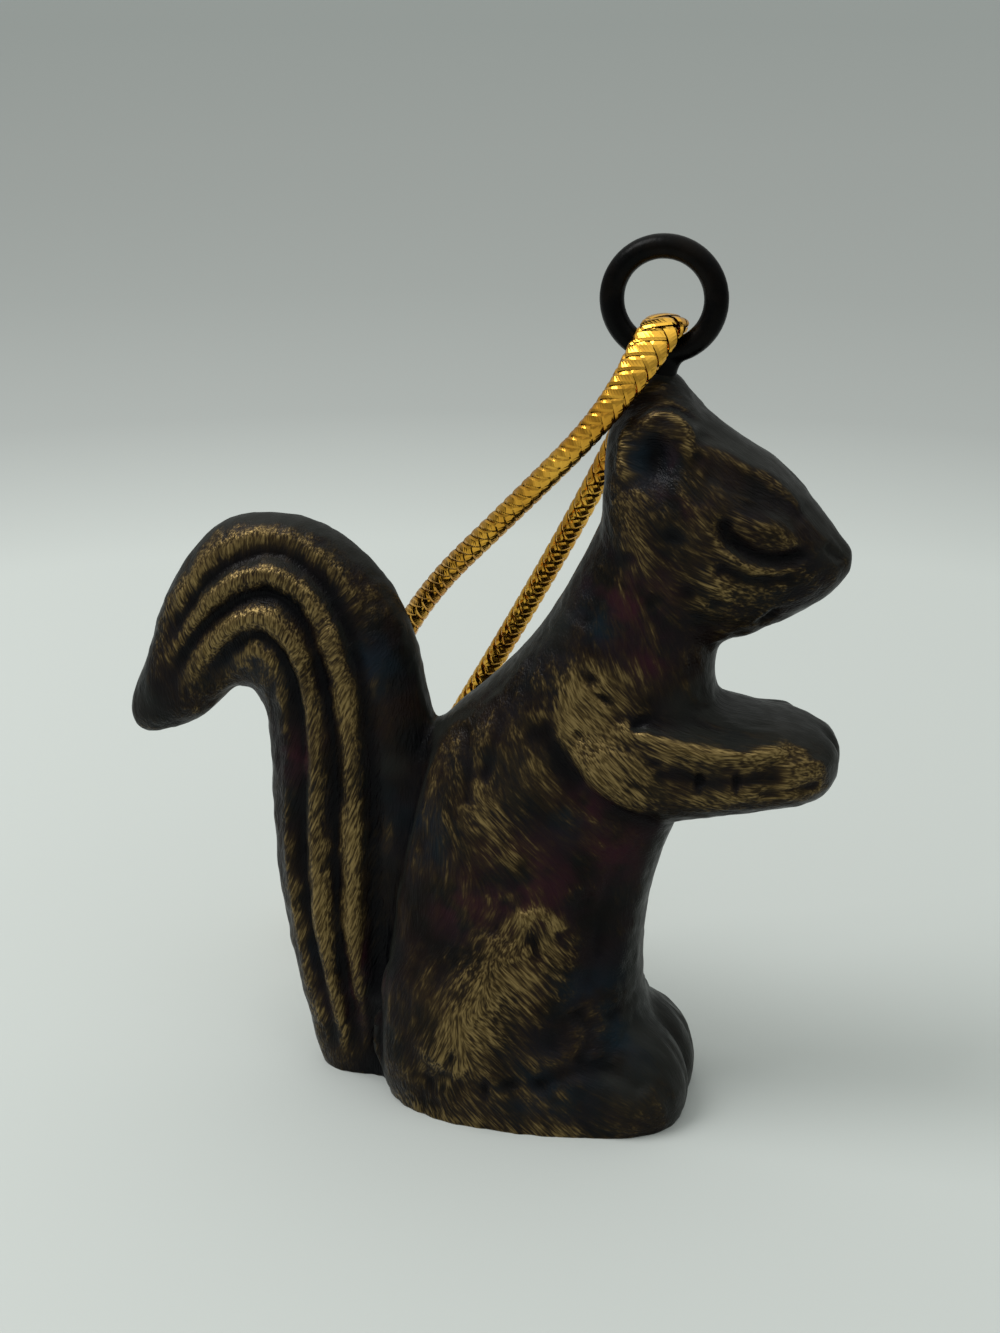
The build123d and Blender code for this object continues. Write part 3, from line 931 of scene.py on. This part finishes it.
# Wear that is everywhere, and that of the lowest edge with its reach in millimetres.
touch_everywhere = 0.07
base_touch, base_reach = 0.45, 1.6
# The share of a rubbed edge's length over which it fades at each end.
edge_taper = 0.1
# What crests and raised hair add to the wear, and how proud they stand for all of it.
crest_share, full_crest = 0.30, 0.30
hair_share, full_hair = 0.12, 0.03
# How far a hollow lies inside the smoothed shape to get its full painted shade.
full_hollow_shade = 0.35
# The narrow edges of the figure get this share of the wear, and smooth places lose this share.
edge_wear = 0.15
smooth_loss = 0.7


def closeness(x, z, reach):
    """One at a place on the side view, and nothing far from it."""
    away = np.hypot(clay.place[:, 0] - x, clay.place[:, 2] - z)
    return np.exp(-((away / reach) ** 2))


def nearness(places):
    """One close to any of the places and nothing far from them all."""
    return np.max([closeness(*place) for place in places], axis=0)


touch = np.full(clay.count, touch_everywhere)
# Negative amounts take wear away, and these dark places are painted shade.
for x, z, reach, amount in handled_and_shaded:
    touch += amount * closeness(x, z, reach)
for points, half_width, amount in rubbed_edges:
    touch += amount * along_line(points, half_width, edge_taper)
# The lowest edge of the body is rubbed by whatever the figure stands on.
rubbed_length = ease(clay.place[:, 0], -9, -6) * ease(-clay.place[:, 0], -16, -9)
touch += base_touch * np.exp(-((clay.place[:, 2] / base_reach) ** 2)) * rubbed_length
# Handling reaches the flanks and hardly the narrow top edges, which stay smooth and take a painted
# grey sheen.
side_facing = ease(np.abs(clay.normal[:, 1]), 0.30, 0.80)
side_facing *= 1 - smooth_loss * nearness(smooth_sheen_places)
fine_proud = standing_proud(4)
broad_proud = standing_proud(60)
crest = np.clip(broad_proud / full_crest, -1.5, 1)
raised = touch + crest_share * crest + hair_share * np.clip(fine_proud / full_hair, -1, 1)
wear = raised * (edge_wear + (1 - edge_wear) * side_facing)
stored = {
    "wear": np.clip(wear, 0, 1.2),
    # Painted shade: hollows inside the smoothed shape are darkened in the colour.
    "hollow_shade": np.clip(-broad_proud / full_hollow_shade, 0, 1),
    # Where this mask is low, the material paints a grey sheen instead of hair.
    "fur_and_sheen": side_facing,
    "maroon": nearness(maroon_places),
    "teal": nearness(teal_places),
}
stored.update(("comb_" + str(index), weight) for index, weight in enumerate(clay.comb.T))
for name, values in stored.items():
    store(squirrel, name, values)
for name, proud in (("fine", fine_proud), ("broad", broad_proud)):
    print(name, "wear from", round(proud.min(), 3), "to", round(proud.max(), 3), "mm")

select_only(squirrel)
bpy.ops.object.shade_smooth()
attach(squirrel, "figurine")
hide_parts("squirrel_casting")

# %% [markdown]
# ## The hanging ring
#
# The ring is a wire eye on a flared foot. The wire is a torus, and the foot is a skin over short
# level rings that flare out at the seat and spread along the wire. Both are fused and filleted.

# %% Ring and foot
ring_low, ring_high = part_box("hanging_ring")
ring_wire = 1.95 * mm
shank_height = 3.7 * mm
ring_voxel = 0.12 * mm
ring_outside = ring_high.x - ring_low.x
ring_centre = Vector(((ring_low.x + ring_high.x) / 2, 0, ring_high.z - ring_outside / 2))
ring_radius = (ring_outside - ring_wire) / 2
seat_z = ring_centre.z - ring_radius - shank_height
bpy.ops.mesh.primitive_torus_add(
    major_segments=96,
    minor_segments=32,
    major_radius=ring_radius,
    minor_radius=ring_wire / 2,
    location=ring_centre,
    rotation=(math.pi / 2, 0, 0),
)
wire_ring = bpy.context.active_object
bpy.ops.object.transform_apply(location=True, rotation=True, scale=True)
# Share of the way from the seat to the wire, then half sizes along X and along Y, in mm.
shank_levels = (
    (-0.1, 2.3, 1.9), (0.05, 2.05, 1.75), (0.16, 1.55, 1.4), (0.3, 1.25, 1.12), (0.5, 1.16, 0.96),
    (0.7, 1.36, 0.92), (0.85, 1.75, 0.8), (1, 2.2, 0.55),
)
shank_points = []
shank_rings = smooth_through(shank_levels, 4)
for share, half_x, half_y in shank_rings:
    z = seat_z + share * shank_height
    for step in range(rib_points):
        turn = 2 * math.pi * step / rib_points
        x = ring_centre.x + half_x * mm * math.cos(turn)
        shank_points.append((x, half_y * mm * math.sin(turn), z))
shank = new_piece("ring_foot", shank_points, tube_faces(len(shank_rings), rib_points))
ring = fused("wire_ring", [wire_ring, shank], ring_voxel)
Clay(ring).soften(relax=5, fillet=30, polish=4)
bpy.ops.object.shade_smooth()
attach(ring, "figurine")
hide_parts("hanging_ring")
print("ring is", round(ring_outside / mm, 2), "mm across, in", len(ring.data.polygons), "faces")

# %% [markdown]
# ## Materials
#
# One small function adds a node with its settings and links. Colours are written as sRGB hex, as
# in a paint chart, and turned to linear once.


# %% Material helpers
def linear(hex_colour):
    channels = [int(hex_colour[i : i + 2], 16) / 255 for i in (1, 3, 5)]
    return [c / 12.92 if c <= 0.04045 else ((c + 0.055) / 1.055) ** 2.4 for c in channels] + [1.0]


def fill_inputs(tree, node, inputs):
    """Links an input to a socket, or sets its value."""
    for key, value in dict(inputs).items():
        if isinstance(value, bpy.types.NodeSocket):
            tree.links.new(value, node.inputs[key])
        else:
            node.inputs[key].default_value = value


def add_node(tree, kind, inputs=(), output=0, **settings):
    """Adds a node, sets its properties, fills its inputs and gives one output."""
    node = tree.nodes.new(kind)
    for name, value in settings.items():
        setattr(node, name, value)
    fill_inputs(tree, node, inputs)
    return node.outputs[output]


def new_material(name):
    material = bpy.data.materials.new(name)
    material.use_nodes = True
    tree = material.node_tree
    place = add_node(tree, "ShaderNodeTexCoord", output="Object")
    return material, tree, tree.nodes["Principled BSDF"], place


def dress(pieces, material):
    for piece in pieces:
        piece.data.materials.clear()
        piece.data.materials.append(material)
        print(piece.name, "wears", material.name)


attribute = "ShaderNodeAttribute"
maths = "ShaderNodeMath"
noise = "ShaderNodeTexNoise"
remap = "ShaderNodeMapRange"
blend = "ShaderNodeMix"
bump = "ShaderNodeBump"
# Settings of a node that multiplies two inputs and adds the third.
scaled_sum = {"operation": "MULTIPLY_ADD"}
# Places of a colour blend's inputs and output among a blend node's sockets.
blend_share, blend_first, blend_second, blend_colour = 0, 6, 7, 2
print("material helpers ready")

# %% [markdown]
# ### Patinated brass
#
# The casting was darkened with a chemical patina, nearly black with brown, blue-green and maroon
# in the hollows, then waxed. The hair strokes are bright where the patina has rubbed off, and the
# brightest of them carry a painted glint. The strokes are noise stretched along each of the fixed
# directions and blended by the weights stored with the mesh, so they follow the combing. A fine
# stroke is about 0.15 mm wide and 1.6 mm long, and lies on a coarser one. Where the surface turns
# up or away it was left smooth, and an even grey is painted there as the sheen of the wax. The
# deepest hollows are painted near black as shade.

# %% Patinated brass
# Length and width of a hair stroke, and the noise at which it starts and is full.
fine_stroke = (1.6 * mm, 0.15 * mm, 0.28, 0.72)
coarse_stroke = (2.2 * mm, 0.30 * mm, 0.30, 0.70)
hair_relief = 0.06 * mm
# Size and detail of each pattern in the patina, and the noise at which it starts and is full.
patina_patterns = {
    "cloud": (6 * mm, 3.0, 0.3, 0.7),
    "speckle": (0.9 * mm, 4.0, 0.3, 0.7),
    "teal stain": (4.2 * mm, 3.0, 0.35, 0.62),
    "maroon stain": (3.1 * mm, 4.0, 0.35, 0.62),
}


def combed_noise(tree, place, long, wide):
    """Stretched noise blended over the fixed directions."""
    scale = (long, wide, wide)
    total = 0.0
    for index, angle in enumerate(fixed_angles):
        stretched = add_node(
            tree,
            "ShaderNodeMapping",
            {"Vector": place, "Rotation": (0, -math.radians(angle), 0), "Scale": scale},
            vector_type="TEXTURE",
        )
        strands = add_node(tree, noise, {"Vector": stretched, "Scale": 1, "Detail": 1})
        weight = add_node(tree, attribute, output="Fac", attribute_name="comb_" + str(index))
        total = add_node(tree, maths, {0: strands, 1: weight, 2: total}, **scaled_sum)
    return total


def patinated_brass():
    material, tree, shader, place = new_material("patinated_cast_brass")
    soft = {"interpolation_type": "SMOOTHSTEP"}
    wear, hollow_shade, fur_and_sheen, teal, maroon = (
        add_node(tree, attribute, output="Fac", attribute_name=name)
        for name in ("wear", "hollow_shade", "fur_and_sheen", "teal", "maroon")
    )
    fine, coarse = (
        add_node(tree, remap, {0: combed_noise(tree, place, long, wide), 1: start, 2: full}, **soft)
        for long, wide, start, full in (fine_stroke, coarse_stroke)
    )
    patterns = []
    for size, detail, start, full in patina_patterns.values():
        pattern = add_node(tree, noise, {"Vector": place, "Scale": 1 / size, "Detail": detail})
        patterns.append(add_node(tree, remap, {0: pattern, 1: start, 2: full}, **soft))
    cloud, speckle, *stains = patterns
    # A stain shows mostly at its own places, and a little anywhere.
    for index, (area, most, least) in enumerate(((teal, 0.7, 0.2), (maroon, 0.8, 0.1))):
        area = add_node(tree, maths, {0: area, 1: most, 2: least}, **scaled_sum)
        stains[index] = add_node(tree, maths, {0: stains[index], 1: area}, operation="MULTIPLY")
    teal_stain, maroon_stain = stains

    # The share of a stroke is half fine and half coarse, and the rubbing follows it.
    half_coarse = add_node(tree, maths, {0: coarse, 1: 0.5}, operation="MULTIPLY")
    stroke = add_node(tree, maths, {0: fine, 1: 0.5, 2: half_coarse}, **scaled_sum)
    response = add_node(tree, maths, {0: stroke, 1: 0.9, 2: 0.55}, **scaled_sum)
    # The last number brings the mean of the three variations that follow back to nothing.
    worn = add_node(tree, maths, {0: wear, 1: response, 2: -0.25}, **scaled_sum)
    for pattern, share in ((stroke, 0.20), (cloud, 0.20), (speckle, 0.10)):
        worn = add_node(tree, maths, {0: pattern, 1: share, 2: worn}, **scaled_sum)
    thinned = add_node(tree, remap, {0: worn, 1: 0.02, 2: 0.95}, **soft)
    bare = add_node(tree, remap, {0: worn, 1: 0.28, 2: 1.00}, **soft)
    # The brightest bared hair is lighter brass, partly real rub and partly a painted glint.
    bared_hair_and_glint = add_node(tree, maths, {0: fine, 1: bare}, operation="MULTIPLY")
    # Painted sheen: an even grey where the surface turns up or away, standing in for the wax
    # catching the light.
    painted_edge_sheen = add_node(tree, remap, {0: fur_and_sheen, 1: 0.0, 2: 0.9, 3: 0.8, 4: 0.0}, **soft)

    rubbed = add_node(
        tree,
        blend,
        {blend_share: cloud, blend_first: linear("#382c18"), blend_second: linear("#473920")},
        blend_colour,
        data_type="RGBA",
    )
    colour = linear("#0a0806")
    for share, layer in (
        (cloud, linear("#15100b")),
        (teal_stain, linear("#0c1a22")),
        (maroon_stain, linear("#2c121a")),
        # painted shade, near black in the hollows
        (hollow_shade, linear("#020204")),
        (thinned, rubbed),
        # lighter brass on the brightest hair, partly a painted glint
        (bared_hair_and_glint, linear("#857148")),
        # painted grey sheen on the edges that turn up or away
        (painted_edge_sheen, linear("#1f201d")),
    ):
        shares = {blend_share: share, blend_first: colour, blend_second: layer}
        colour = add_node(tree, blend, shares, blend_colour, data_type="RGBA")

    furry = add_node(tree, maths, {0: fur_and_sheen, 1: 0.7, 2: 0.3}, **scaled_sum)
    grain = add_node(tree, maths, {0: speckle, 1: 0.15}, operation="MULTIPLY")
    height = add_node(tree, maths, {0: stroke, 1: furry, 2: grain}, **scaled_sum)
    fill_inputs(tree, shader, {
        "Base Color": colour,
        "Metallic": add_node(tree, maths, {0: thinned, 1: 0.75, 2: 0.05}, **scaled_sum),
        "Roughness": add_node(tree, maths, {0: speckle, 1: 0.14, 2: 0.32}, **scaled_sum),
        "Specular IOR Level": 0.07,
        "Normal": add_node(tree, bump, {"Height": height, "Strength": 1, "Distance": hair_relief}),
    })
    return material


dress([squirrel], patinated_brass())

# %% [markdown]
# ### Blackened wire
#
# The ring was blackened and never handled much, so it is an even near-black with a soft gleam.
# Fine noise breaks the gleam up as drawn wire and an oxide skin do.

# %% Blackened ring
wire_grain_size = 0.35 * mm
wire_cloud_size = 2.5 * mm
wire_relief = 0.04 * mm


def blackened_wire():
    material, tree, shader, place = new_material("blackened_brass_wire")
    grain = add_node(tree, noise, {"Vector": place, "Scale": 1 / wire_grain_size, "Detail": 4.0})
    cloud = add_node(tree, noise, {"Vector": place, "Scale": 1 / wire_cloud_size, "Detail": 3.0})
    cloud = add_node(tree, remap, {0: cloud, 1: 0.45, 2: 0.7})
    tones = {blend_share: cloud, blend_first: linear("#020202"), blend_second: linear("#0c0805")}
    fill_inputs(tree, shader, {
        "Base Color": add_node(tree, blend, tones, blend_colour, data_type="RGBA"),
        "Roughness": add_node(tree, remap, {0: grain, 1: 0.3, 2: 0.7, 3: 0.24, 4: 0.40}),
        "Specular IOR Level": 0.06,
        "Normal": add_node(tree, bump, {"Height": grain, "Strength": 0.5, "Distance": wire_relief}),
    })
    return material


dress([ring], blackened_wire())

# %% [markdown]
# ### Metallised strip
#
# Lame strip is a polyester film with a bright metal coat under gold lacquer. It is smooth and
# mirror-like with small creases, so its roughness is low and a soft wave breaks the reflection.
# The core under it is dark amber thread that shows only in the gaps, and its dark colour also
# stands in as painted shade between the strips.

# %% Gold strip
crease_size = 0.8 * mm
lacquer_cloud_size = 5 * mm
film_bump = 0.04 * mm


def gold_strip():
    material, tree, shader, place = new_material("gold_lame_strip")
    crease = add_node(tree, noise, {"Vector": place, "Scale": 1 / crease_size, "Detail": 3.0})
    cloud = add_node(tree, noise, {"Vector": place, "Scale": 1 / lacquer_cloud_size, "Detail": 3.0})
    cloud = add_node(tree, remap, {0: cloud, 1: 0.35, 2: 0.65})
    core = add_node(tree, attribute, output="Fac", attribute_name="core")
    colour = linear("#c48a2c")
    # the core's dark amber is also painted shade in the gaps between strips
    for share, layer in ((cloud, "#e2ad42"), (core, "#2c1404")):
        shares = {blend_share: share, blend_first: colour, blend_second: linear(layer)}
        colour = add_node(tree, blend, shares, blend_colour, data_type="RGBA")
    fill_inputs(tree, shader, {
        "Base Color": colour,
        "Metallic": add_node(tree, maths, {0: core, 1: -0.8, 2: 1.0}, **scaled_sum),
        "Roughness": add_node(tree, remap, {0: crease, 1: 0.3, 2: 0.7, 3: 0.12, 4: 0.22}),
        "Normal": add_node(tree, bump, {"Height": crease, "Strength": 0.4, "Distance": film_bump}),
    })
    return material


dress([cord, knot, ends], gold_strip())

# %% [markdown]
# ## Stage and light
#
# A pale floor runs to the horizon, and its colour is painted with the light's falloff, darker with
# distance. One large soft lamp hangs above, and the world, which is brighter overhead, fills the
# shadows.

# %% Floor
floor_size = 8.0
bpy.ops.mesh.primitive_plane_add(size=floor_size, location=(0, 0, 0))
floor = bpy.context.active_object
floor.name = "floor"
# Distance from the figure in metres and the floor's colour there, a painted light falloff that is
# brightest a little way from the figure and darker far off.
floor_falloff_colours = (
    (0.0, "#afb3b0"), (0.06, "#b2b6b3"), (0.12, "#b5b9b6"), (0.17, "#b7bbb8"), (0.27, "#a1a4a2"),
    (0.43, "#9da09e"), (0.85, "#9ea19f"), (2.3, "#999d9b"), (4.0, "#999d9b"),
)
# The ramp's places are spread by this power, because most of the change is near the figure.
ramp_power = 0.3


def pale_floor():
    material, tree, shader, place = new_material("pale_paper")
    away = add_node(tree, "ShaderNodeVectorMath", {0: place}, "Value", operation="LENGTH")
    share = add_node(tree, maths, {0: away, 1: floor_falloff_colours[-1][0]}, operation="DIVIDE")
    spread = add_node(tree, maths, {0: share, 1: ramp_power}, operation="POWER")
    colour = add_node(tree, "ShaderNodeValToRGB", {0: spread})
    elements = colour.node.color_ramp.elements
    elements.remove(elements[-1])
    for index, (distance, tone) in enumerate(floor_falloff_colours):
        stop = (distance / floor_falloff_colours[-1][0]) ** ramp_power
        element = elements[0] if index == 0 else elements.new(stop)
        element.position = stop
        element.color = linear(tone)
    fill_inputs(tree, shader, {"Base Color": colour, "Roughness": 0.9, "Specular IOR Level": 0.1})
    return material


floor.data.materials.append(pale_floor())
print("floor is", floor_size, "m square")

# %% Lamp and world
lamp_place = (-0.22, -0.10, 0.42)
lamp_data = bpy.data.lights.new("overhead_lamp", "AREA")
lamp_data.shape = "DISK"
lamp_data.size = 0.26
lamp_data.energy = 1.45
lamp = new_object("overhead_lamp", lamp_data)
lamp.location = lamp_place
lamp.rotation_euler = (Vector(lamp_place) - view_target).to_track_quat("Z", "Y").to_euler()

# The room is grey at the horizon, like the far floor, and brightens towards the ceiling.
horizon_level = 0.325
ceiling_level = 1.43
ceiling_rise = 1.7
world = bpy.data.worlds.new("soft_room")
bpy.context.scene.world = world
world.use_nodes = True
room = world.node_tree
direction = add_node(room, "ShaderNodeTexCoord", output="Generated")
height = add_node(room, "ShaderNodeSeparateXYZ", {0: direction}, "Z")
above = add_node(room, maths, {0: height, 1: 0.0}, operation="MAXIMUM")
rise = add_node(room, maths, {0: above, 1: ceiling_rise}, operation="POWER")
levels = {0: rise, 1: ceiling_level - horizon_level, 2: horizon_level}
level = add_node(room, maths, levels, **scaled_sum)
fill_inputs(room, room.nodes["Background"], {"Strength": level, "Color": linear("#fbfffc")})
bpy.context.scene.view_settings.view_transform = "Standard"
print("one soft lamp and a room that is brighter above")
